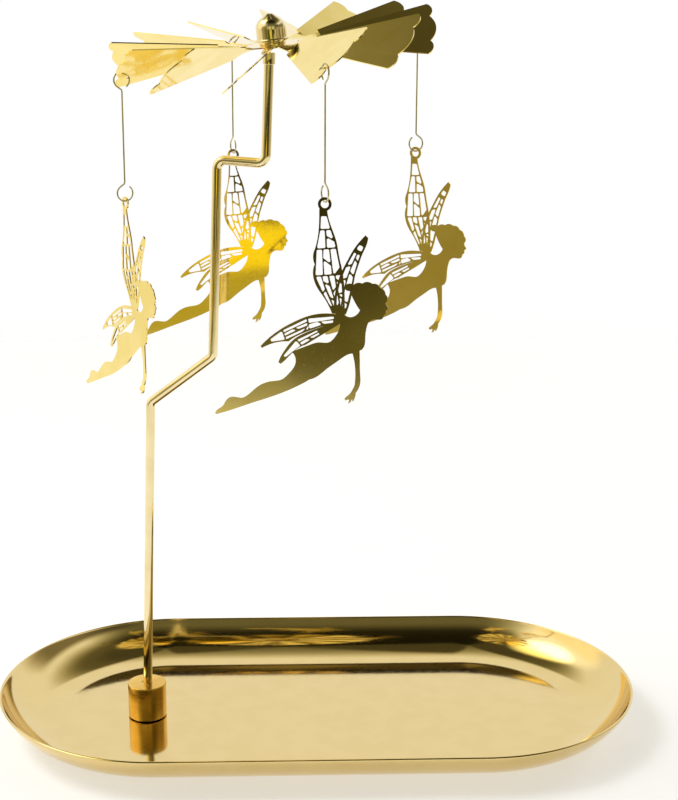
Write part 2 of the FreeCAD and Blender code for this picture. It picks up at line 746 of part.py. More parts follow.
# The body's outline, stroke by stroke, clockwise from the shoulder; corners fall between strokes
BODY_SHARES = [
    [(0.060, -0.510), (0.090, -0.487), (0.118, -0.500)],
    [(0.118, -0.500), (0.145, -0.505), (0.172, -0.488), (0.182, -0.470)],
    [(0.182, -0.470), (0.160, -0.440), (0.143, -0.410), (0.130, -0.385)],
    [(0.130, -0.385), (0.110, -0.377), (0.108, -0.364), (0.124, -0.352), (0.146, -0.357)],
    [(0.146, -0.357), (0.166, -0.345), (0.186, -0.347)],
    [(0.186, -0.347), (0.210, -0.338), (0.232, -0.345)],
    [(0.232, -0.345), (0.253, -0.346), (0.268, -0.361)],
    [(0.268, -0.361), (0.286, -0.371), (0.295, -0.391)],
    [(0.295, -0.391), (0.305, -0.406), (0.300, -0.424)],
    [(0.300, -0.424), (0.302, -0.440), (0.310, -0.454), (0.301, -0.464), (0.302, -0.475),
     (0.294, -0.484), (0.288, -0.500), (0.270, -0.508), (0.248, -0.508), (0.229, -0.518),
     (0.220, -0.535)],
    [(0.220, -0.535), (0.215, -0.560), (0.213, -0.590), (0.213, -0.620), (0.206, -0.645),
     (0.190, -0.658)],
    [(0.190, -0.658), (0.193, -0.700), (0.197, -0.760), (0.200, -0.815), (0.192, -0.842),
     (0.182, -0.858)],
    [(0.182, -0.858), (0.180, -0.880), (0.170, -0.902)],
    [(0.170, -0.902), (0.165, -0.890)],
    [(0.165, -0.890), (0.156, -0.908), (0.148, -0.912)],
    [(0.148, -0.912), (0.150, -0.893), (0.138, -0.898)],
    [(0.138, -0.898), (0.132, -0.893), (0.150, -0.870), (0.163, -0.850), (0.175, -0.820)],
    [(0.175, -0.820), (0.176, -0.780), (0.170, -0.720), (0.158, -0.674)],
    [(0.158, -0.674), (0.145, -0.677), (0.100, -0.708), (0.041, -0.757), (-0.005, -0.798),
     (-0.035, -0.812)],
    [(-0.035, -0.812), (-0.140, -0.875), (-0.215, -0.910), (-0.288, -0.940), (-0.400, -0.988),
     (-0.462, -1.012)],
    [(-0.462, -1.012), (-0.474, -1.010), (-0.470, -0.998), (-0.440, -0.972), (-0.422, -0.940),
     (-0.398, -0.925), (-0.368, -0.926), (-0.340, -0.922)],
    [(-0.340, -0.922), (-0.311, -0.898), (-0.273, -0.862), (-0.225, -0.838), (-0.165, -0.822),
     (-0.133, -0.791), (-0.106, -0.748), (-0.104, -0.720), (-0.124, -0.688)],
    [(-0.124, -0.688), (-0.088, -0.670), (-0.045, -0.650), (0.000, -0.634),
     (0.046, -0.630), (0.072, -0.605), (0.090, -0.570), (0.094, -0.540), (0.060, -0.510)],
]


def on_sheet(share):
    drop = number("figure_drop")
    return FreeCAD.Vector(share[0] * drop, 0, share[1] * drop)


def stroke_edge(shares):
    """One smooth edge through a stroke's places."""
    points = [on_sheet(share) for share in shares]
    if len(points) == 2:
        return line_edge(*points)
    curve = Part.BSplineCurve()
    curve.interpolate(points)
    return curve.toShape()


def along(points, share):
    """A place on the run of straight pieces through the points, by share of its length."""
    lengths = [(b - a).Length for a, b in zip(points, points[1:])]
    wanted = share * sum(lengths)
    for start, end, length in zip(points, points[1:], lengths):
        if wanted <= length:
            return start + (end - start) * (wanted / length)
        wanted -= length
    return points[-1]


def rounded_loop(corners, radius):
    """A closed wire through the corners, each rounded by a tangent arc."""
    edges = []
    bends = []
    count = len(corners)
    for index, corner in enumerate(corners):
        back = corners[index - 1] - corner
        ahead = corners[(index + 1) % count] - corner
        half_angle = back.getAngle(ahead) * HALF
        shortest = min(back.Length, ahead.Length)
        trim = min(radius / math.tan(half_angle), shortest * HALF * 0.9)
        back.normalize()
        ahead.normalize()
        inward = back + ahead
        inward.normalize()
        tangent_radius = trim * math.tan(half_angle)
        centre = corner + inward * (tangent_radius / math.sin(half_angle))
        bends.append((corner + back * trim, centre - inward * tangent_radius,
                      corner + ahead * trim))
    for index, (first, middle, last) in enumerate(bends):
        edges.append(arc_edge(first, middle, last))
        edges.append(line_edge(last, bends[(index + 1) % count][0]))
    return Part.Wire(edges)


def wing_cells(wing):
    """The pierced cells of one wing, in staggered columns between its two edges."""
    outer = [on_sheet(share) for stroke in wing["outer_share"] for share in stroke]
    inner = [on_sheet(share) for stroke in wing["inner_share"] for share in stroke]
    if (outer[0] - inner[0]).Length > (outer[0] - inner[-1]).Length:
        inner.reverse()
    rim = number("wing_rim")
    vein = number("vein") * HALF
    least = number("least_cell")
    cells = []
    for first, last, columns, rows in wing["zone_shares"]:
        for column in range(columns):
            shift = STAGGER_SHARES[column]
            breaks = [0.0] + [(row + 1 - shift) / rows for row in range(rows)] + [1.0]
            breaks = sorted(set(round(min(value, 1.0), 6) for value in breaks))
            slant = SLANT_SHARES[column] / rows if columns > 1 else 0
            for low, high in zip(breaks, breaks[1:]):
                low_slant = slant if low > 0 else 0
                high_slant = slant if high < 1 else 0
                corners = []
                for across, share in ((0, low + low_slant), (1, low - low_slant),
                                      (1, high - high_slant), (0, high + high_slant)):
                    length_share = first + (last - first) * share
                    left = along(outer, length_share)
                    right = along(inner, length_share)
                    width = (right - left).Length
                    if width < 2 * rim + least:
                        corners = []
                        break
                    room = (width - 2 * rim + 2 * vein) / width
                    start = (rim - vein) / width
                    place = start + room * (column + across) / columns
                    corners.append(left + (right - left) * place)
                if corners:
                    cell_loop = shrunk_cell(corners, vein, least)
                    if cell_loop:
                        cells.append(cell_loop)
    return cells


def shrunk_cell(corners, vein, least):
    """The rounded hole left inside four corners by half a vein on every side."""
    count = len(corners)
    moved = []
    for index, corner in enumerate(corners):
        back = (corners[index - 1] - corner)
        ahead = (corners[(index + 1) % count] - corner)
        if min(back.Length, ahead.Length) < least + 2 * vein:
            return None
        back.normalize()
        ahead.normalize()
        inward = back + ahead
        inward.normalize()
        half_angle = back.getAngle(ahead) * HALF
        moved.append(corner + inward * (vein / math.sin(half_angle)))
    sides = [(moved[index] - moved[index - 1]).Length for index in range(count)]
    if min(sides) < least:
        return None
    return rounded_loop(moved, number("cell_corner"))


def flat_solid(outer, holes):
    """A sheet of the figure's thickness, centred on its own plane."""
    face = Part.makeFace([outer] + holes, "Part::FaceMakerBullseye")
    half_sheet = FreeCAD.Vector(0, number("figure_sheet") * HALF, 0)
    solid = face.extrude(half_sheet * 2)
    solid.translate(-half_sheet)
    return solid


def wing_solid(wing):
    outer = [stroke_edge(stroke) for stroke in wing["outer_share"]]
    inner = [stroke_edge(stroke) for stroke in wing["inner_share"]]
    outer_ends = (on_sheet(wing["outer_share"][0][0]), on_sheet(wing["outer_share"][-1][-1]))
    inner_ends = (on_sheet(wing["inner_share"][0][0]), on_sheet(wing["inner_share"][-1][-1]))
    closing = [line_edge(a, b) for a, b in zip(outer_ends, inner_ends)]
    border = Part.Wire(Part.__sortEdges__(outer + inner + closing))
    return flat_solid(border, wing_cells(wing))


def figure_shape():
    """The whole figure, hanging ring, wings and body, drawn from its ring's middle."""
    middle = FreeCAD.Vector(0, 0, 0)
    forward = FreeCAD.Vector(0, 1, 0)
    rim = Part.Wire(Part.Circle(middle, forward, number("ring_diameter") * HALF).toShape())
    eye = Part.Wire(Part.Circle(middle, forward, number("ring_hole") * HALF).toShape())
    ring = flat_solid(rim, [eye])
    body = flat_solid(Part.Wire([stroke_edge(stroke) for stroke in BODY_SHARES]), [])
    wings = [wing_solid(wing) for wing in WINGS]
    hole = Part.makeCylinder(
        number("ring_hole") * HALF, number("ring_hole"),
        FreeCAD.Vector(0, -number("ring_hole") * HALF, 0), forward)
    whole = ring.multiFuse(wings + [body]).cut(hole).removeSplitter()
    if len(whole.Solids) != 1:
        raise ValueError("the figure is %d solids" % len(whole.Solids))
    return whole.Solids[0]


def make_figure(name, shape, ring_place, facing):
    """One figure, turned in its own plane until it balances under its hanging wire."""
    wire = number("ring_hole") * HALF - number("ring_play") - number("wire_diameter") * HALF
    hang = FreeCAD.Vector(0, 0, wire)
    weight = shape.CenterOfMass - hang
    swing = math.degrees(math.atan2(weight.x, -weight.z))
    balance = FreeCAD.Placement(
        FreeCAD.Vector(0, 0, 0), FreeCAD.Rotation(FreeCAD.Vector(0, 1, 0), swing), hang)
    turn = FreeCAD.Rotation(FreeCAD.Vector(0, 0, 1), facing)
    feature = doc.addObject("Part::Feature", name)
    feature.Shape = shape
    feature.Label = name
    feature.Placement = FreeCAD.Placement(ring_place, turn).multiply(balance)
    print("%s: balance turn %.2f degrees" % (name, swing))
    return feature


# Build everything in place

parts = [make_tray()]
parts.extend(make_base())

bore_foot = number("base_height") - number("bore_depth")
rod_foot = FreeCAD.Vector(
    number("base_place"), 0, number("tray_sheet") + number("base_gap") + bore_foot)
lean = FreeCAD.Rotation(FreeCAD.Vector(0, 1, 0), number("post_lean"))
turn = FreeCAD.Rotation(FreeCAD.Vector(0, 0, 1), number("post_turn"))
post_place = FreeCAD.Placement(rod_foot, turn.multiply(lean))
parts.append(make_post(post_place))

top_x, top_z = post_corners()[-1]
top_place = post_place.multiply(
    FreeCAD.Placement(FreeCAD.Vector(top_x.value, 0, top_z.value), FreeCAD.Rotation()))
parts.extend(make_ferrule_and_needle(top_place))

pivot_point = top_place.multVec(FreeCAD.Vector(0, 0, number("needle_height")))
low_side = math.radians(number("rotor_low_side"))
lean_axis = FreeCAD.Vector(-math.sin(low_side), math.cos(low_side), 0)
rotor_place = FreeCAD.Placement(
    pivot_point, FreeCAD.Rotation(lean_axis, number("rotor_lean")))
rotor = make_rotor_core()
rotor.append(make_fan())
for piece in rotor:
    piece.Placement = rotor_place
parts.extend(rotor)
print("pivot point", [round(value, 4) for value in pivot_point])

loop_reach = math.sqrt(number("loop_radius") ** 2 - number("loop_hang") ** 2)
figure = figure_shape()
ring_drop = (number("loop_radius") + number("ring_hole") * HALF
             - number("ring_play") - number("wire_diameter") * HALF)
for order, side in enumerate(SIDES):
    azimuth, pitch = blade_angles(order * BLADES // FIGURES)
    hole, normal = hook_place(azimuth, pitch)
    hole = rotor_place.multVec(hole)
    outward = FreeCAD.Rotation(FreeCAD.Vector(0, 0, 1), azimuth)
    hang = outward.multVec(FreeCAD.Vector(loop_reach, 0, 0))
    loop_place = hole + hang - FreeCAD.Vector(0, 0, number("loop_hang"))
    parts.append(make_hanger("hanger_" + side, FreeCAD.Placement(loop_place, outward)))
    lower_loop = loop_place - FreeCAD.Vector(0, 0, number("hanger_length"))
    ring_place = lower_loop - FreeCAD.Vector(0, 0, ring_drop)
    parts.append(make_figure("fairy_" + side, figure, ring_place, FIGURE_FACING[side]))
    print("hanger_%s" % side, "upper loop", [round(value, 4) for value in loop_place],
          "lower wire", round(lower_loop.z - number("loop_radius"), 4), "azimuth", azimuth)

doc.recompute()
for item in doc.Objects:
    if "Invalid" in item.State or "Error" in item.State:
        raise ValueError("%s is %s" % (item.Label, item.State))
for piece in parts:
    if piece.Shape.isNull() or not piece.Shape.isValid():
        raise ValueError("%s has no valid shape" % piece.Label)

os.makedirs("parts", exist_ok=True)
for piece in parts:
    piece.Shape.exportStep(os.path.join("parts", piece.Label + ".step"))
    box = piece.Shape.BoundBox
    print("%-14s solids %d volume %9.2f  x %.1f..%.1f y %.1f..%.1f z %.2f..%.2f" % (
        piece.Label, len(piece.Shape.Solids), piece.Shape.Volume,
        box.XMin, box.XMax, box.YMin, box.YMax, box.ZMin, box.ZMax))
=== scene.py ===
import math

import bmesh
import bpy
from mathutils import Matrix, Vector


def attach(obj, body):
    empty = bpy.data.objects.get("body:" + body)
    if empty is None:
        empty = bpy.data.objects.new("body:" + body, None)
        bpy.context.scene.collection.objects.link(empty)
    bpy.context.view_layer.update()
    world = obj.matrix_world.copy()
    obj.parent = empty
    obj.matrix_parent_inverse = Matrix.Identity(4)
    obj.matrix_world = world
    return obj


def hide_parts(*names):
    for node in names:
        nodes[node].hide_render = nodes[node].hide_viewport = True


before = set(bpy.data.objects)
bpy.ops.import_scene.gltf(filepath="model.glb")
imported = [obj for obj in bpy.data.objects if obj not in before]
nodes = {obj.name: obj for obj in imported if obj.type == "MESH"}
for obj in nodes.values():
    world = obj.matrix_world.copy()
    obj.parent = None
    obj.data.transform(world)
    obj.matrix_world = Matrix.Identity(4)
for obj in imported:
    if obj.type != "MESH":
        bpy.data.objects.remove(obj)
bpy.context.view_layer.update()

MM = 0.001
SMOOTH_ANGLE = 35.0
TUBE_SMOOTH_ANGLE = 50.0
TRAY_SMOOTH_ANGLE = 40.0


# ---- Shader helpers ----

class Nodes:
    """Short calls for building one node tree."""

    def __init__(self, tree):
        self.tree = tree
        self.tree.nodes.clear()

    def add(self, kind, inputs=None, **settings):
        node = self.tree.nodes.new(kind)
        for name, value in settings.items():
            setattr(node, name, value)
        for name, value in (inputs or {}).items():
            if isinstance(value, bpy.types.NodeSocket):
                self.tree.links.new(value, node.inputs[name])
            else:
                node.inputs[name].default_value = value
        return node

    def link(self, source, target):
        self.tree.links.new(source, target)

    def math(self, operation, first, second=0.0, clamp=False):
        node = self.add("ShaderNodeMath", {0: first, 1: second}, operation=operation)
        node.use_clamp = clamp
        return node.outputs[0]

    def span(self, value, low, high, to_low, to_high):
        node = self.add("ShaderNodeMapRange", {
            "Value": value, "From Min": low, "From Max": high, "To Min": to_low, "To Max": to_high})
        return node.outputs["Result"]

    def smooth(self, value, low, high, to_low, to_high):
        node = self.add("ShaderNodeMapRange", {
            "Value": value, "From Min": low, "From Max": high, "To Min": to_low, "To Max": to_high},
            interpolation_type="SMOOTHSTEP")
        return node.outputs["Result"]

    def mix(self, share, first, second):
        node = self.add("ShaderNodeMix", data_type="RGBA")
        for socket, value in ((node.inputs[0], share), (node.inputs[6], first), (node.inputs[7], second)):
            if isinstance(value, bpy.types.NodeSocket):
                self.tree.links.new(value, socket)
            else:
                socket.default_value = value
        return node.outputs[2]

    def noise(self, vector, scale, detail=3.0, roughness=0.55):
        node = self.add("ShaderNodeTexNoise", {
            "Vector": vector, "Scale": scale, "Detail": detail, "Roughness": roughness})
        return node.outputs["Fac"]

    def stretched(self, vector, scale):
        node = self.add("ShaderNodeMapping", {"Vector": vector, "Scale": scale})
        return node.outputs["Vector"]


CLOUD_SCALE = 95.0
SPECK_SCALE = 900.0
SPECK_DARK = 0.72
SCRATCH_DEPTH = 0.000004


def metal(name, pale, deep, gloss, grain, wave, wave_scale, streak=(1.0, 1.0, 1.0), marks=0.0):
    """Plated metal: two tints in soft clouds, fine grain in its gloss, a slow wave in its surface.

    Marks above zero add small dull specks, which are darker than the deep tint.
    """
    material = bpy.data.materials.new(name)
    material.use_nodes = True
    n = Nodes(material.node_tree)
    place = n.add("ShaderNodeTexCoord").outputs["Object"]
    clouds = n.noise(place, CLOUD_SCALE, 2.0)
    fine = n.noise(n.stretched(place, streak), grain, 4.0, 0.65)
    tint = n.mix(n.smooth(clouds, 0.35, 0.65, 0.0, 1.0), (*pale, 1.0), (*deep, 1.0))
    rough = n.span(fine, 0.3, 0.7, gloss[0], gloss[1])
    if marks:
        specks = n.smooth(n.noise(place, SPECK_SCALE, 2.0), 0.66, 0.74, 0.0, marks)
        rough = n.math("ADD", rough, specks, True)
        tint = n.mix(n.math("MULTIPLY", specks, 0.6), tint, (*[c * SPECK_DARK for c in deep], 1.0))
    slow = n.noise(place, wave_scale, 1.0, 0.4)
    swell = n.add("ShaderNodeBump", {"Height": slow, "Distance": wave, "Strength": 1.0})
    scratch = n.add("ShaderNodeBump", {
        "Height": fine, "Distance": SCRATCH_DEPTH, "Strength": 0.35, "Normal": swell.outputs["Normal"]})
    shader = n.add("ShaderNodeBsdfPrincipled", {
        "Base Color": tint, "Roughness": rough, "Metallic": 1.0, "Normal": scratch.outputs["Normal"]})
    out = n.add("ShaderNodeOutputMaterial")
    n.link(shader.outputs[0], out.inputs["Surface"])
    return material


# Linear colours of each metal, its paler and its deeper tint
TRAY_PALE = (0.785, 0.61, 0.275)
TRAY_DEEP = (0.765, 0.59, 0.26)
SHEET_PALE = (0.94, 0.75, 0.27)
SHEET_DEEP = (0.89, 0.70, 0.21)
ROD_PALE = (0.88, 0.75, 0.45)
ROD_DEEP = (0.82, 0.69, 0.38)
BASE_PALE = (0.86, 0.56, 0.13)
BASE_DEEP = (0.76, 0.46, 0.08)
WIRE_PALE = (0.66, 0.60, 0.38)
WIRE_DEEP = (0.50, 0.45, 0.26)
CUP_PALE = (0.75, 0.55, 0.22)
CUP_DEEP = (0.66, 0.46, 0.16)
STEEL_PALE = (0.60, 0.60, 0.61)
STEEL_DEEP = (0.45, 0.45, 0.47)

# How the grain is stretched: along the rod, the wires and the dome's side, and round the turned base
ROD_GRAIN = (1.0, 1.0, 0.06)
WIRE_GRAIN = (1.0, 1.0, 0.05)
DOME_GRAIN = (1.0, 1.0, 0.1)
TURNED_GRAIN = (0.05, 0.05, 1.0)

# Each call: tints, range of roughness, grain scale, height and scale of the slow wave
tray_gold = metal("tray_gold", TRAY_PALE, TRAY_DEEP, (0.06, 0.105), 700.0, 0.000015, 16.0, marks=0.02)
sheet_gold = metal("sheet_gold", SHEET_PALE, SHEET_DEEP, (0.035, 0.07), 900.0, 0.00028, 26.0, marks=0.05)
rod_gold = metal("rod_gold", ROD_PALE, ROD_DEEP, (0.04, 0.08), 1500.0, 0.00003, 120.0, ROD_GRAIN)
dome_gold = metal("dome_gold", ROD_PALE, ROD_DEEP, (0.05, 0.11), 1600.0, 0.00006, 260.0, DOME_GRAIN)
base_brass = metal("base_brass", BASE_PALE, BASE_DEEP, (0.16, 0.28), 2600.0, 0.00003, 200.0, TURNED_GRAIN)
cup_brass = metal("cup_brass", CUP_PALE, CUP_DEEP, (0.2, 0.3), 2400.0, 0.00002, 300.0)
wire_gold = metal("wire_gold", WIRE_PALE, WIRE_DEEP, (0.16, 0.3), 2200.0, 0.00002, 400.0, WIRE_GRAIN)
needle_steel = metal("needle_steel", STEEL_PALE, STEEL_DEEP, (0.12, 0.22), 2600.0, 0.00001, 400.0)
magnet_nickel = metal("magnet_nickel", STEEL_PALE, STEEL_DEEP, (0.15, 0.25), 2000.0, 0.00001, 300.0)

SIDE_NAMES = ("front", "right", "back", "left")
NODE_MATERIALS = {
    "base_magnet": magnet_nickel, "needle": needle_steel, "pivot_cup": cup_brass, "fan": sheet_gold}
for side_name in SIDE_NAMES:
    NODE_MATERIALS["fairy_" + side_name] = sheet_gold

for node_name, node_material in NODE_MATERIALS.items():
    node_materials = nodes[node_name].data.materials
    node_materials.clear()
    node_materials.append(node_material)


# ---- Mesh helpers ----

def new_piece(name, vertices, faces, material, body, replaced, smooth_angle=SMOOTH_ANGLE):
    """A mesh on its body, in place of the CAD nodes in replaced, with its material and slot."""
    mesh = bpy.data.meshes.new(name)
    mesh.from_pydata([tuple(v) for v in vertices], [], faces)
    mesh.validate()
    work = bmesh.new()
    work.from_mesh(mesh)
    bmesh.ops.recalc_face_normals(work, faces=work.faces)
    work.to_mesh(mesh)
    work.free()
    item = bpy.data.objects.new(name, mesh)
    bpy.context.scene.collection.objects.link(item)
    mesh.materials.append(material)
    mesh.shade_smooth()
    mesh.set_sharp_from_angle(angle=math.radians(smooth_angle))
    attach(item, body)
    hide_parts(*replaced)
    return item


MOST_TRIM = 0.48


def rounded(points, radii, steps=6):
    """A profile's points, with each corner that has a radius rounded to about that radius.

    No rounding takes more than MOST_TRIM of a side.
    """
    result = []
    last = len(points) - 1
    for index, (point, radius) in enumerate(zip(points, radii)):
        here = Vector(point)
        if not radius or index in (0, last):
            result.append(here)
            continue
        back = Vector(points[index - 1]) - here
        ahead = Vector(points[index + 1]) - here
        half = back.angle(ahead) / 2
        trim = min(radius / math.tan(half), back.length * MOST_TRIM, ahead.length * MOST_TRIM)
        start = here + back.normalized() * trim
        end = here + ahead.normalized() * trim
        for step in range(steps + 1):
            t = step / steps
            result.append(start * (1 - t) ** 2 + here * (2 * t * (1 - t)) + end * t ** 2)
    return result


def closed_ring(points, radii):
    """The rounded points of a section that closes on itself; the radii repeat the first point's."""
    return rounded(points + points[:1], radii)[:-1]


ON_AXIS = 0.000001


def lathe(name, profile, place, material, body, replaced, segments=96):
    """A closed skin turned about the local Z axis from (radius, height) points, in millimetres."""
    vertices = []
    rings = []
    for radius, height in profile:
        if radius < ON_AXIS:
            rings.append([len(vertices)])
            vertices.append(place @ (Vector((0, 0, height)) * MM))
            continue
        ring = []
        for step in range(segments):
            turn = 2 * math.pi * step / segments
            ring.append(len(vertices))
            local = Vector((radius * math.cos(turn), radius * math.sin(turn), height))
            vertices.append(place @ (local * MM))
        rings.append(ring)
    faces = []
    pairs = list(zip(rings, rings[1:]))
    if len(rings[0]) > 1 and len(rings[-1]) > 1:
        pairs.append((rings[-1], rings[0]))
    for low, high in pairs:
        if len(low) == 1 and len(high) == 1:
            continue
        for step in range(segments):
            after = (step + 1) % segments
            if len(low) == 1:
                faces.append((low[0], high[step], high[after]))
            elif len(high) == 1:
                faces.append((low[step], low[after], high[0]))
            else:
                faces.append((low[step], low[after], high[after], high[step]))
    return new_piece(name, vertices, faces, material, body, replaced)


def arc_path(corners, radii, steps=10):
    """Points along straight runs joined by true tangent arcs."""
    points = [Vector(corners[0])]
    for before, corner, after, radius in zip(corners, corners[1:], corners[2:], radii):
        corner = Vector(corner)
        back = (Vector(before) - corner).normalized()
        ahead = (Vector(after) - corner).normalized()
        half = back.angle(ahead) / 2
        trim = radius / math.tan(half)
        start = corner + back * trim
        centre = corner + (back + ahead).normalized() * (radius / math.sin(half))
        first = start - centre
        turn = math.pi - 2 * half
        axis = first.cross(-back).normalized()
        for step in range(steps + 1):
            spin = Matrix.Rotation(turn * step / steps, 3, axis)
            points.append(centre + spin @ first)
    points.append(Vector(corners[-1]))
    return points


# A rounded end's extra rings, as shares of the radius, from the end inwards
END_SHARES = (0.55, 0.85)


def tube(name, points, radius, place, material, body, replaced, segments, dome=0.0):
    """A round rod along the points, in millimetres, with rounded ends if dome gives their length."""
    count = len(points)
    tangents = []
    for index in range(count):
        ahead = points[min(index + 1, count - 1)] - points[max(index - 1, 0)]
        tangents.append(ahead.normalized())
    side = tangents[0].orthogonal().normalized()
    rings = []
    vertices = []

    def ring(centre, tangent, reach):
        nonlocal side
        side = (side - tangent * side.dot(tangent)).normalized()
        other = tangent.cross(side)
        loop = []
        for step in range(segments):
            turn = 2 * math.pi * step / segments
            loop.append(len(vertices))
            spot = centre + (side * math.cos(turn) + other * math.sin(turn)) * reach
            vertices.append(place @ (spot * MM))
        rings.append(loop)

    def end_ring(end, inwards, share):
        depth = dome * (1 - share) ** 1.5 if share < 1 else dome
        ring(points[end] + tangents[end] * inwards * depth, tangents[end], radius * share)

    shares = END_SHARES + (1,) if dome else (1,)
    for share in shares:
        end_ring(0, 1, share)
    for index in range(1, count - 1):
        ring(points[index], tangents[index], radius)
    for share in reversed(shares):
        end_ring(-1, -1, share)
    faces = [tuple(reversed(rings[0])), tuple(rings[-1])]
    for low, high in zip(rings, rings[1:]):
        for step in range(segments):
            after = (step + 1) % segments
            faces.append((low[step], low[after], high[after], high[step]))
    return new_piece(name, vertices, faces, material, body, replaced, TUBE_SMOOTH_ANGLE)


# ---- Tray: a capsule-shaped skin with a rounded edge ----

TRAY_LENGTH = 230.0
TRAY_WIDTH = 120.0
TRAY_SHEET = 0.8
TRAY_FLARE = 20.0
TRAY_RISE = 13.2
FLOOR_SHARES = (0.0, 0.5, 0.94)
WALL_STEPS = 26
LIP_STEPS = 8
LIP_BULGE = 0.35
LIP_INSET = 0.05
LIP_DROP = 0.15
END_SEGMENTS = 96
STRAIGHT_SEGMENTS = 40
JOIN_DISTANCE = 0.000002

half_width = TRAY_WIDTH / 2
outer_arc = (TRAY_FLARE ** 2 + TRAY_RISE ** 2) / (2 * TRAY_RISE)
wall_turn = math.asin(TRAY_FLARE / outer_arc)
floor_edge = half_width - TRAY_FLARE


def tray_profile():
    """Half section from the middle of the underside, round the rim, to the middle of the floor."""
    points = [(floor_edge * share, 0.0) for share in FLOOR_SHARES]
    for step in range(WALL_STEPS):
        turn = wall_turn * step / WALL_STEPS
        points.append((floor_edge + outer_arc * math.sin(turn), outer_arc * (1 - math.cos(turn))))
    middle = outer_arc - TRAY_SHEET / 2
    centre = Vector((floor_edge + middle * math.sin(wall_turn), outer_arc - middle * math.cos(wall_turn)))
    outwards = Vector((math.sin(wall_turn), -math.cos(wall_turn)))
    upwards = Vector((math.cos(wall_turn), math.sin(wall_turn)))
    for step in range(LIP_STEPS + 1):
        turn = math.pi * step / LIP_STEPS
        lip = centre + (outwards * math.cos(turn) + upwards * math.sin(turn) * LIP_BULGE) * TRAY_SHEET / 2
        points.append((lip.x - LIP_INSET * math.cos(wall_turn), lip.y - LIP_DROP))
    inner_arc = outer_arc - TRAY_SHEET
    for step in reversed(range(WALL_STEPS)):
        turn = wall_turn * step / WALL_STEPS
        points.append((floor_edge + inner_arc * math.sin(turn), outer_arc - inner_arc * math.cos(turn)))
    points += [(floor_edge * share, TRAY_SHEET) for share in reversed(FLOOR_SHARES)]
    return points


def capsule_ring(reach):
    """Points round a capsule that lies reach from the tray's middle line."""
    straight = TRAY_LENGTH - TRAY_WIDTH
    ring = []
    for side in (1, -1):
        for step in range(END_SEGMENTS + 1):
            turn = -math.pi / 2 + math.pi * step / END_SEGMENTS
            ring.append((side * (straight / 2 + reach * math.cos(turn)), side * reach * math.sin(turn)))
        for step in range(1, STRAIGHT_SEGMENTS):
            share = step / STRAIGHT_SEGMENTS
            ring.append((side * (straight / 2 - straight * share), side * reach))
    return ring


def build_tray():
    """The tray's skin, with the doubled points on its middle line joined."""
    profile = tray_profile()
    vertices = []
    rings = []
    for reach, height in profile:
        loop = []
        for x, y in capsule_ring(reach):
            loop.append(len(vertices))
            vertices.append((x * MM, y * MM, height * MM))
        rings.append(loop)
    faces = []
    count = len(rings[0])
    for low, high in zip(rings, rings[1:]):
        for step in range(count):
            after = (step + 1) % count
            faces.append((low[step], low[after], high[after], high[step]))
    item = new_piece("tray_skin", vertices, faces, tray_gold, "tray", ["tray"],
                     TRAY_SMOOTH_ANGLE)
    work = bmesh.new()
    work.from_mesh(item.data)
    bmesh.ops.remove_doubles(work, verts=work.verts, dist=JOIN_DISTANCE)
    bmesh.ops.dissolve_degenerate(work, edges=work.edges, dist=JOIN_DISTANCE / 2)
    bmesh.ops.recalc_face_normals(work, faces=work.faces)
    work.to_mesh(item.data)
    work.free()
    item.data.shade_smooth()
    item.data.set_sharp_from_angle(angle=math.radians(TRAY_SMOOTH_ANGLE))


build_tray()


# ---- Base, post, ferrule ----

POST_TURN = math.radians(-20.0)
POST_LEAN = math.radians(2.3)
BASE_PLACE = Vector((-62.4, 0.0, 0.8)) * MM
BASE_GAP = 0.4
BASE_HEIGHT = 12.6
BASE_RADIUS = 6.9
BORE_DEPTH = 9.0
ROD_RADIUS = 1.6
RECESS_RADIUS = 5.05
RECESS_DEPTH = 2.6
MOUTH_RADIUS = 2.05
MOUTH_FOOT_RADIUS = 1.9
MOUTH_DEPTH = 0.35
BASE_ROUNDS = (0, 0, 0, 0.35, 0.45, 0.12, 0, 0)
TURNED_SEGMENTS = 128

base_place = (Matrix.Translation(BASE_PLACE + Vector((0, 0, BASE_GAP * MM)))
              @ Matrix.Rotation(POST_TURN, 4, "Z"))
mouth_foot = BASE_HEIGHT - MOUTH_DEPTH
base_points = [
    (0.0, RECESS_DEPTH), (RECESS_RADIUS, RECESS_DEPTH), (RECESS_RADIUS, 0.0), (BASE_RADIUS, 0.0),
    (BASE_RADIUS, BASE_HEIGHT), (MOUTH_RADIUS, BASE_HEIGHT), (MOUTH_FOOT_RADIUS, mouth_foot),
    (0.0, mouth_foot)]
lathe("base_turning", rounded(base_points, BASE_ROUNDS), base_place, base_brass, "base", ["base_weight"],
      TURNED_SEGMENTS)

foot = BASE_PLACE + Vector((0, 0, (BASE_GAP + BASE_HEIGHT - BORE_DEPTH) * MM))
post_place = (Matrix.Translation(foot) @ Matrix.Rotation(POST_TURN, 4, "Z")
              @ Matrix.Rotation(POST_LEAN, 4, "Y"))
POST_CORNERS = [
    (0, 0, 0), (0, 0, 115.0), (22.9, 0, 134.1), (22.9, 0, 200.3), (39.9, 0, 200.3), (39.9, 0, 234.6)]
BEND_RADIUS = 3.0
ROD_SEGMENTS = 48
post_points = arc_path(POST_CORNERS, [BEND_RADIUS] * 4, 14)
tube("post_rod", post_points, ROD_RADIUS, post_place, rod_gold, "post", ["post"],
     ROD_SEGMENTS)

top_place = post_place @ Matrix.Translation(Vector(POST_CORNERS[-1]) * MM)
FERRULE_RING = [
    (1.61, 0.0), (1.61, -2.9), (2.05, -2.9), (2.05, 0.8), (0.46, 0.8), (0.46, 0.0)]
FERRULE_ROUNDS = (0, 0, 0.2, 0.28, 0.08, 0, 0)
lathe("ferrule_sleeve", closed_ring(FERRULE_RING, FERRULE_ROUNDS), top_place, rod_gold, "post", ["ferrule"])

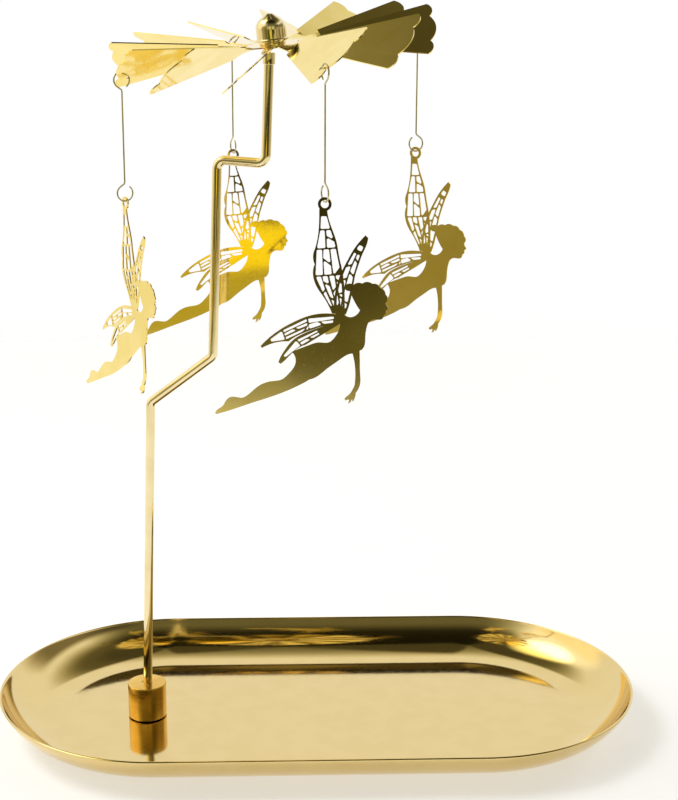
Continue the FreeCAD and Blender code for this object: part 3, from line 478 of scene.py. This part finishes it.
NEEDLE_HEIGHT = 9.9
pivot = top_place @ Vector((0, 0, NEEDLE_HEIGHT * MM))


# ---- Rotor: dome, stud, washer ----

ROTOR_LEAN = math.radians(8.5)
ROTOR_LOW_SIDE = math.radians(218.6)
lean_axis = Vector((-math.sin(ROTOR_LOW_SIDE), math.cos(ROTOR_LOW_SIDE), 0))
rotor_place = Matrix.Translation(pivot) @ Matrix.Rotation(ROTOR_LEAN, 4, lean_axis)

CROWN = 3.1
CROWN_RADIUS = 2.2
SHOULDER_RADIUS = 3.9
DOME_RADIUS = 4.85
DOME_SLOPE = math.radians(33.7)
DOME_FOOT = -5.5
BORE_RADIUS = 2.72
FLANGE_RADIUS = 5.3
FLANGE_TOP = -4.8
SIDE_FOOT = -4.6
DOME_ROUNDS = (0, 0.2, 0.15, 0.12, 0)
SHOULDER_STEPS = 16
CROWN_STEPS = 12
# The hollow under the dome, from the seat of the cup down to the bore for the stud
DOME_HOLLOW = [(0.0, 1.4), (2.02, 1.4), (2.02, -2.2), (BORE_RADIUS, -2.2)]


def dome_skin():
    """Half outline from the flange up the side, over the shoulder and the slope to the crown."""
    out, fall = math.cos(DOME_SLOPE), math.sin(DOME_SLOPE)
    crown_end = (CROWN_RADIUS * fall, CROWN - CROWN_RADIUS * (1 - out))
    shoulder_x = DOME_RADIUS - SHOULDER_RADIUS * (1 - fall)
    shoulder_z = crown_end[1] - (shoulder_x - crown_end[0]) * fall / out
    low_z = shoulder_z - SHOULDER_RADIUS * out
    middle_x = DOME_RADIUS - SHOULDER_RADIUS
    points = rounded([(BORE_RADIUS, DOME_FOOT), (FLANGE_RADIUS, DOME_FOOT), (FLANGE_RADIUS, FLANGE_TOP),
                      (DOME_RADIUS, SIDE_FOOT), (DOME_RADIUS, low_z)], DOME_ROUNDS)
    for step in range(1, SHOULDER_STEPS + 1):
        turn = (math.pi / 2 - DOME_SLOPE) * step / SHOULDER_STEPS
        points.append(Vector((middle_x + SHOULDER_RADIUS * math.cos(turn),
                              low_z + SHOULDER_RADIUS * math.sin(turn))))
    for step in range(CROWN_STEPS + 1):
        turn = DOME_SLOPE * (1 - step / CROWN_STEPS)
        points.append(Vector((CROWN_RADIUS * math.sin(turn), CROWN - CROWN_RADIUS * (1 - math.cos(turn)))))
    return points


lathe("dome_shell", dome_skin() + DOME_HOLLOW, rotor_place, dome_gold, "rotor", ["dome_cap"],
      TURNED_SEGMENTS)

STUD_RING = [(2.2, -7.7), (3.4, -7.7), (3.4, -6.9), (2.7, -6.9), (2.7, -2.2), (2.2, -2.2)]
STUD_ROUNDS = (0, 0.18, 0.18, 0, 0.1, 0, 0)
lathe("stud_bush", closed_ring(STUD_RING, STUD_ROUNDS), rotor_place, cup_brass, "rotor", ["hollow_stud"])

WASHER_RING = [(2.72, -6.5), (4.2, -6.5), (4.2, DOME_FOOT), (2.72, DOME_FOOT)]
WASHER_ROUNDS = (0, 0.25, 0.25, 0, 0)
lathe("washer_ring", closed_ring(WASHER_RING, WASHER_ROUNDS), rotor_place, dome_gold, "rotor", ["fan_washer"])


# ---- Wire hangers ----

LOOP_RADIUS = 2.5
LOOP_BEND = 0.9
WIRE_RADIUS = 0.26
HANGER_LENGTH = 34.85
LEAVE_ANGLE = math.radians(35.0)
OPEN_ANGLE = math.radians(35.0)
FAN_LEVEL = -6.7
HOOK = Vector((47.1, -5.8, 0.0))
LOOP_HANG = 1.0
BLADE_START = -67.0
BLADE_PITCH = 33.2
HOOK_PITCH_SHARES = {"front": 1.01, "right": 0.96, "back": 0.92, "left": 0.98}
LOOP_REACH = math.sqrt(LOOP_RADIUS ** 2 - LOOP_HANG ** 2)
LOOP_STEPS = 44
WIRE_SEGMENTS = 16
WIRE_END_ROUND = 0.08


def loop_spot(centre, angle):
    """A point of a wire's loop at an angle from its outward side."""
    return centre + Vector((math.cos(angle), 0, math.sin(angle))) * LOOP_RADIUS


def half_hanger(centre, side):
    """Points from a loop's open end to the straight wire; side 1 is the upper loop."""
    quarter = math.pi / 2
    points = []
    start = quarter + OPEN_ANGLE
    sweep = 2 * math.pi - OPEN_ANGLE - LEAVE_ANGLE
    for step in range(LOOP_STEPS + 1):
        angle = -side * (start + sweep * step / LOOP_STEPS)
        points.append(loop_spot(centre, angle))
    meet = LOOP_RADIUS / math.cos(LEAVE_ANGLE)
    corner = centre - Vector((0, 0, side * meet))
    turn = quarter - LEAVE_ANGLE
    trim = LOOP_BEND * math.tan(turn / 2)
    end = corner - Vector((0, 0, side * trim * 1.5))
    bend = arc_path([points[-1], corner, end], [LOOP_BEND], 8)
    return points + bend[1:]


def build_hanger(side_name, order):
    """One wire, hung through the hole in its blade, with its loops in an upright plane along the blade."""
    azimuth = math.radians(BLADE_START + 90.0 * order)
    pitch = math.radians(BLADE_PITCH * HOOK_PITCH_SHARES[side_name])
    tilt = Matrix.Rotation(azimuth, 4, "Z") @ Matrix.Rotation(pitch, 4, "X")
    hole = rotor_place @ (Vector((0, 0, FAN_LEVEL)) * MM + tilt @ (HOOK * MM))
    turn = Matrix.Rotation(azimuth, 4, "Z")
    centre = hole + turn @ (Vector((LOOP_REACH, 0, 0)) * MM) - Vector((0, 0, LOOP_HANG * MM))
    place = Matrix.Translation(centre) @ turn
    upper = half_hanger(Vector((0, 0, 0)), 1)
    lower = half_hanger(Vector((0, 0, -HANGER_LENGTH)), -1)
    name = "hanger_" + side_name
    tube("wire_" + side_name, upper + lower[::-1], WIRE_RADIUS, place, wire_gold, name, [name],
         WIRE_SEGMENTS, WIRE_END_ROUND)


for order, side_name in enumerate(SIDE_NAMES):
    build_hanger(side_name, order)


# ---- Camera ----

PITCH = math.radians(14.69)
YAW = math.radians(2.17)
ROLL = math.radians(0.28)
CAMERA_SPOT = (-0.0119, -0.5058, 0.2525)
CAMERA_LENS = 67.5
CAMERA_SENSOR = 36.0
forward = Vector((math.sin(YAW) * math.cos(PITCH), math.cos(YAW) * math.cos(PITCH), -math.sin(PITCH)))
right = Vector((math.cos(YAW), -math.sin(YAW), 0))
up = right.cross(forward)
right_rolled = right * math.cos(ROLL) + up * math.sin(ROLL)
up_rolled = up * math.cos(ROLL) - right * math.sin(ROLL)
camera_data = bpy.data.cameras.new("camera")
camera_data.lens = CAMERA_LENS
camera_data.sensor_width = CAMERA_SENSOR
camera_data.clip_start = 0.01
camera = bpy.data.objects.new("camera", camera_data)
bpy.context.scene.collection.objects.link(camera)
basis = Matrix((right_rolled, up_rolled, -forward)).transposed()
camera.matrix_world = Matrix.Translation(CAMERA_SPOT) @ basis.to_4x4()
bpy.context.scene.camera = camera
bpy.context.scene.view_settings.view_transform = "Standard"


# ---- Floor, light ----

FLOOR_RADIUS = 1.2
FLOOR_SPOT = (0, 0.05, -0.0002)
# The floor's diffuse tints are cool and its glow is warm: where lit they add up to white, and in the shade
# the warm glow is left, a painted warm tint for light thrown off the gold
FLOOR_PALE = (0.49, 0.515, 0.57, 1.0)
FLOOR_DEEP = (0.47, 0.495, 0.55, 1.0)
FLOOR_GLOW_AND_WARM_SHADE = (1.0, 0.955, 0.88, 1.0)
FLOOR_GLOW_STRENGTH = 0.56
FADE_START = 0.45
FADE_END = 0.75


def build_floor():
    """A pale floor that fades out; its glow shows to the camera and in mirrors and lights nothing."""
    mesh = bpy.data.meshes.new("floor")
    work = bmesh.new()
    bmesh.ops.create_circle(work, cap_ends=True, segments=96, radius=FLOOR_RADIUS)
    work.to_mesh(mesh)
    work.free()
    item = bpy.data.objects.new("floor", mesh)
    item.location = FLOOR_SPOT
    bpy.context.scene.collection.objects.link(item)
    material = bpy.data.materials.new("floor_paper")
    material.use_nodes = True
    n = Nodes(material.node_tree)
    place = n.add("ShaderNodeTexCoord").outputs["Object"]
    grain = n.noise(place, 60.0, 4.0)
    tint = n.mix(n.span(grain, 0.3, 0.7, 0.0, 1.0), FLOOR_DEEP, FLOOR_PALE)
    diffuse = n.add("ShaderNodeBsdfDiffuse", {"Color": tint})
    rays = n.add("ShaderNodeLightPath")
    shown = n.math("MAXIMUM", rays.outputs["Is Camera Ray"], rays.outputs["Is Glossy Ray"])
    glow = n.add("ShaderNodeEmission", {
        "Color": FLOOR_GLOW_AND_WARM_SHADE, "Strength": n.math("MULTIPLY", shown, FLOOR_GLOW_STRENGTH)})
    lit = n.add("ShaderNodeAddShader")
    n.link(diffuse.outputs[0], lit.inputs[0])
    n.link(glow.outputs[0], lit.inputs[1])
    spread = n.add("ShaderNodeVectorMath", {0: place}, operation="LENGTH").outputs["Value"]
    fade = n.smooth(spread, FADE_START, FADE_END, 0.0, 1.0)
    clear = n.add("ShaderNodeBsdfTransparent")
    edge = n.add("ShaderNodeMixShader", {0: fade, 1: lit.outputs[0], 2: clear.outputs[0]})
    out = n.add("ShaderNodeOutputMaterial")
    n.link(edge.outputs[0], out.inputs["Surface"])
    mesh.materials.append(material)


build_floor()

world = bpy.data.worlds.new("studio")
bpy.context.scene.world = world
world.use_nodes = True
w = Nodes(world.node_tree)
direction = w.add("ShaderNodeTexCoord").outputs["Generated"]
split = w.add("ShaderNodeSeparateXYZ", {0: direction})
flat = w.add("ShaderNodeVectorMath", {0: direction, 1: (1.0, 1.0, 0.0)}, operation="MULTIPLY")
flat = flat.outputs["Vector"]
around = w.add("ShaderNodeVectorMath", {0: flat}, operation="NORMALIZE").outputs["Vector"]


def toward(vector, place):
    """How far the vector points along a fixed direction: 1 when it is the same."""
    aim = Vector(place).normalized()
    return w.add("ShaderNodeVectorMath", {0: vector, 1: aim}, operation="DOT_PRODUCT").outputs["Value"]


WHITE = (1.0, 1.0, 1.0, 1.0)


def dim(level, tone, share, strength, colour):
    """Bring the light down to a strength and a colour where the share is 1."""
    level = w.math("MULTIPLY", level, w.span(share, 0.0, 1.0, 1.0, strength))
    return level, w.mix(share, tone, colour)


# Fixed directions in the room, from the object outwards
FRONT = (0.12, -0.99, 0.0)
FRONT_LEFT = (-0.80, -0.60, 0.0)
LEFT = (-1.0, 0.0, 0.0)
RIGHT = (0.96, -0.28, 0.0)
BACK = (0.0, 1.0, 0.0)
LEFT_WINDOW = (-0.85, 0.0, 0.52)
CARD_SPOT = (-0.05, -1.0, 0.0)
LAMP_SPOT = (-0.56, 0.08, 0.82)

# Colours that the zones take on
FRONT_TONE = (1.0, 0.93, 0.38, 1.0)
HIGH_FRONT_TONE = (1.0, 0.95, 0.50, 1.0)
AMBER_TONE = (1.0, 0.85, 0.34, 1.0)
LEFT_TONE = (1.0, 0.90, 0.66, 1.0)
RIGHT_TONE = (1.0, 0.88, 0.55, 1.0)
TOP_TONE = (1.0, 0.90, 0.42, 1.0)
CARD_TONE = (1.0, 0.80, 0.03, 1.0)
CARD_FOOT_TONE = (1.0, 0.85, 0.15, 1.0)

# Strengths of the zones, against 1 for the white room
HIGH_FRONT_LEVEL = 0.16
AMBER_LEVEL = 0.40
WINDOW_EXTRA = 0.35
CARD_LEVEL = 1.1
CARD_FOOT_LEVEL = 0.50
LAMP_EXTRA = 1.9
BACK_RAISE = 0.20


def zone(vector, place, start, full):
    """1 along a fixed direction, falling to 0 away from it; start and full are cosines."""
    return w.smooth(toward(vector, place), start, full, 0.0, 1.0)


height = split.outputs["Z"]
low = w.smooth(height, 0.25, 0.50, 1.0, 0.0)
sides = w.smooth(height, 0.46, 0.62, 1.0, 0.0)
level = 1.0
tone = WHITE

# In front it is darkest at eye level, paler towards the table, with uneven streaks
front_share = zone(around, FRONT, 0.30, 0.93)
streaks = w.smooth(w.noise(around, 5.5, 2.0), 0.42, 0.60, 0.65, 1.5)
table_level = w.span(height, -0.30, -0.15, 0.25, 0.038)
wall_level = w.smooth(height, -0.092, -0.070, 0.0, 0.50)
front_level = w.math("MULTIPLY", w.math("MAXIMUM", table_level, wall_level), streaks)
level, tone = dim(level, tone, w.math("MULTIPLY", front_share, low), front_level, FRONT_TONE)
high_front = w.math("MULTIPLY", front_share, w.math("SUBTRACT", 1.0, low))
level, tone = dim(level, tone, high_front, HIGH_FRONT_LEVEL, HIGH_FRONT_TONE)

# An amber wall front left, a dimmer room on the right, a warm one on the left
amber = w.math("MULTIPLY", zone(around, FRONT_LEFT, 0.88, 0.97), low)
level, tone = dim(level, tone, amber, AMBER_LEVEL, AMBER_TONE)
right_side = w.math("MULTIPLY", zone(around, RIGHT, 0.55, 0.9), sides)
right_level = w.smooth(height, 0.10, 0.26, 0.54, 0.24)
level, tone = dim(level, tone, right_side, right_level, RIGHT_TONE)
left_side = w.math("MULTIPLY", zone(around, LEFT, 0.80, 0.95), sides)
tone = w.mix(left_side, tone, LEFT_TONE)

# Overhead is dark, but for a window on the left, and the dark starts higher at the back
window = zone(direction, LEFT_WINDOW, 0.80, 0.93)
raise_back = w.math("MULTIPLY", zone(around, BACK, 0.93, 0.985), BACK_RAISE)
onset = w.math("SUBTRACT", height, raise_back)
overhead = w.math("MULTIPLY", w.smooth(onset, 0.60, 0.86, 0.0, 1.0), w.math("SUBTRACT", 1.0, window))
top_level = w.smooth(height, 0.86, 0.95, 0.13, 0.075)
level, tone = dim(level, tone, overhead, top_level, TOP_TONE)
level = w.math("ADD", level, w.math("MULTIPLY", window, WINDOW_EXTRA))

# A yellow card straight ahead, below eye level, with an ochre foot
ahead = zone(around, CARD_SPOT, 0.984, 0.994)
card = w.math("MULTIPLY", ahead, w.smooth(height, -0.132, -0.125, 1.0, 0.0))
card_foot = w.smooth(height, -0.170, -0.164, 1.0, 0.0)
card_tone = w.mix(card_foot, CARD_TONE, CARD_FOOT_TONE)
card_level = w.math("MULTIPLY", card, w.span(card_foot, 0.0, 1.0, CARD_LEVEL, CARD_FOOT_LEVEL))
tone = w.mix(card, tone, card_tone)
level = w.math("MAXIMUM", level, card_level)

lamp_patch = w.math("MULTIPLY", zone(direction, LAMP_SPOT, 0.94, 0.985), LAMP_EXTRA)
level = w.math("ADD", level, lamp_patch)

# The camera itself sees white
rays = w.add("ShaderNodeLightPath")
camera_share = rays.outputs["Is Camera Ray"]
seen = w.math("ADD", w.math("MULTIPLY", level, w.math("SUBTRACT", 1.0, camera_share)), camera_share)
tone = w.mix(camera_share, tone, WHITE)
background = w.add("ShaderNodeBackground", {"Color": tone, "Strength": seen})
world_out = w.add("ShaderNodeOutputWorld")
w.link(background.outputs[0], world_out.inputs["Surface"])


def softbox(name, place, target, size, power, colour):
    """A rectangular lamp that lights the matt floor; the metal mirrors the room instead of it."""
    data = bpy.data.lights.new(name, "AREA")
    data.shape = "RECTANGLE"
    data.size, data.size_y = size
    data.energy = power
    data.color = colour
    item = bpy.data.objects.new(name, data)
    bpy.context.scene.collection.objects.link(item)
    away = Vector(target) - Vector(place)
    item.rotation_euler = away.to_track_quat("-Z", "Y").to_euler()
    item.location = place
    item.visible_glossy = False


# Each lamp: name, place, target, size in metres, power in watts, colour
LAMPS = [
    ("key_left", (-0.62, 0.10, 0.85), (0, 0, 0.05), (0.42, 0.36), 4.6, (1.0, 0.97, 0.92)),
    ("rim_right", (0.85, 0.55, 0.55), (0, 0, 0.1), (0.5, 0.5), 2.6, (1.0, 0.98, 0.95))]
for lamp in LAMPS:
    softbox(*lamp)

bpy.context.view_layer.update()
